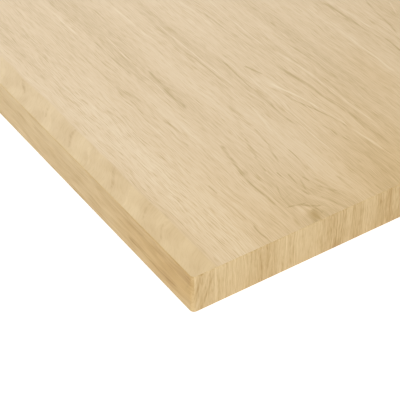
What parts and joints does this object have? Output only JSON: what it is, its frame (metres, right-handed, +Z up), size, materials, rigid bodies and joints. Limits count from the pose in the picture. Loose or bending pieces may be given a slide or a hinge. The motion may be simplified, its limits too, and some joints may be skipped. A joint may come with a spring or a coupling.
{
  "type": "melamine shelf board",
  "caption": "Flat rectangular shelf board of melamine-faced chipboard in pale oak decor, with rounded edge bands on all four edges.",
  "frame": {"origin": "centre of the underside", "axes": "+X along the grain towards the right end, +Y from the front edge to the back edge, +Z up through the thickness"},
  "size_m": [0.8, 0.3, 0.018],
  "materials": {
    "decor_face": "satin melamine, printed pale oak",
    "edge_band": "satin ABS, printed pale oak"
  },
  "bodies": {
    "root": {"panel": "decor_face", "front_edge_band": "edge_band", "back_edge_band": "edge_band", "left_end_band": "edge_band", "right_end_band": "edge_band"}
  },
  "joints": []
}
